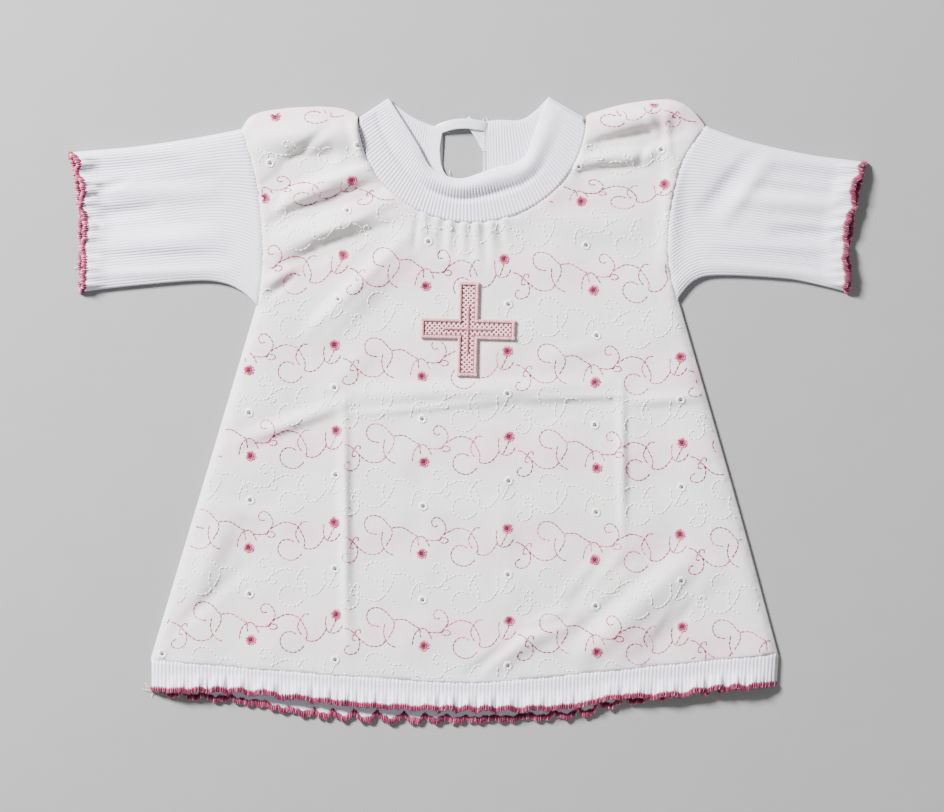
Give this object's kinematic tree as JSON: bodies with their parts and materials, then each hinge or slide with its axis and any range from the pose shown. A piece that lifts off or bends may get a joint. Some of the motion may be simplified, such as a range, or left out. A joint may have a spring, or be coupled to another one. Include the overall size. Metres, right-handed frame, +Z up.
{
  "type": "christening gown",
  "caption": "Baby's A-line gown laid flat, with rib knit sleeves, neck and hem bands, ruffled edging, cross applique and a ribbon tie at the back neck.",
  "frame": {"origin": "middle of the gown's outline in plan, on the surface that it lies on", "axes": "+X towards the right of the picture across both sleeves, +Y from the hem to the neck, +Z up from the surface"},
  "size_m": [0.512, 0.4004, 0.0107],
  "materials": {
    "batiste": "matte",
    "rib_knit": "matte",
    "edging_thread": "satin",
    "applique": "satin",
    "ribbon": "satin"
  },
  "bodies": {
    "root": {"front_panel": "batiste", "back_panel": "batiste", "neckband": "rib_knit", "sleeve_left": "rib_knit", "sleeve_right": "rib_knit", "hem_band": "rib_knit", "hem_edging": "edging_thread", "cuff_edging_left": "edging_thread", "cuff_edging_right": "edging_thread", "cross_applique": "applique", "back_tie_over": "ribbon", "back_tie_under": "ribbon"}
  },
  "joints": []
}
